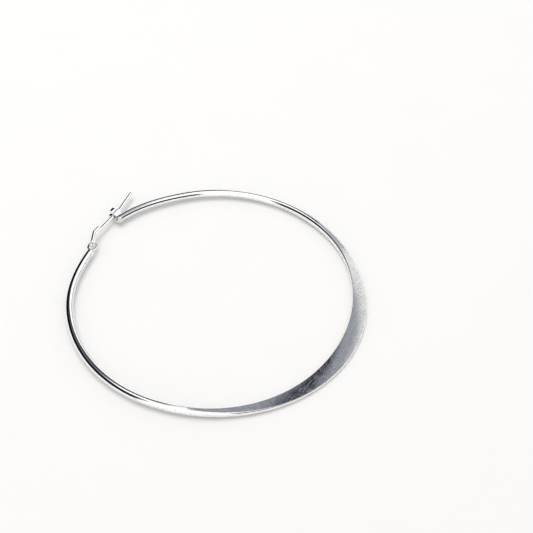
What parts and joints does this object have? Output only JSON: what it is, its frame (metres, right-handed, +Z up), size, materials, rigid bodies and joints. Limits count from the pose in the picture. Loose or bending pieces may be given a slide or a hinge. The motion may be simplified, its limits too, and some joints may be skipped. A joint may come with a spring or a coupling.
{
  "type": "hoop earring",
  "caption": "Large wire hoop earring hammered to a flat crescent opposite its clasp, with a thin ear wire that hinges in an eye and drops into a folded catch.",
  "frame": {"origin": "on the surface it lies on, below the middle of the whole earring", "axes": "+Y from the crescent towards the clasp, +Z up out of the surface it lies on"},
  "size_m": [0.0598, 0.0646, 0.0027],
  "materials": {
    "hoop_silver": "polished silver, mirror bright, with fine hairline scratches on the flat face",
    "ear_wire_silver": "polished silver wire"
  },
  "bodies": {
    "hoop": {"hoop": "hoop_silver"},
    "ear_wire": {"ear_wire": "ear_wire_silver"}
  },
  "joints": [
    {"name": "ear_wire_swing", "type": "hinge", "parent": "hoop", "child": "ear_wire", "pos_m": [-0.00426, 0.02819, 0.00132], "axis": [0, -0.0084, 1], "range_deg": [0, 95]}
  ]
}
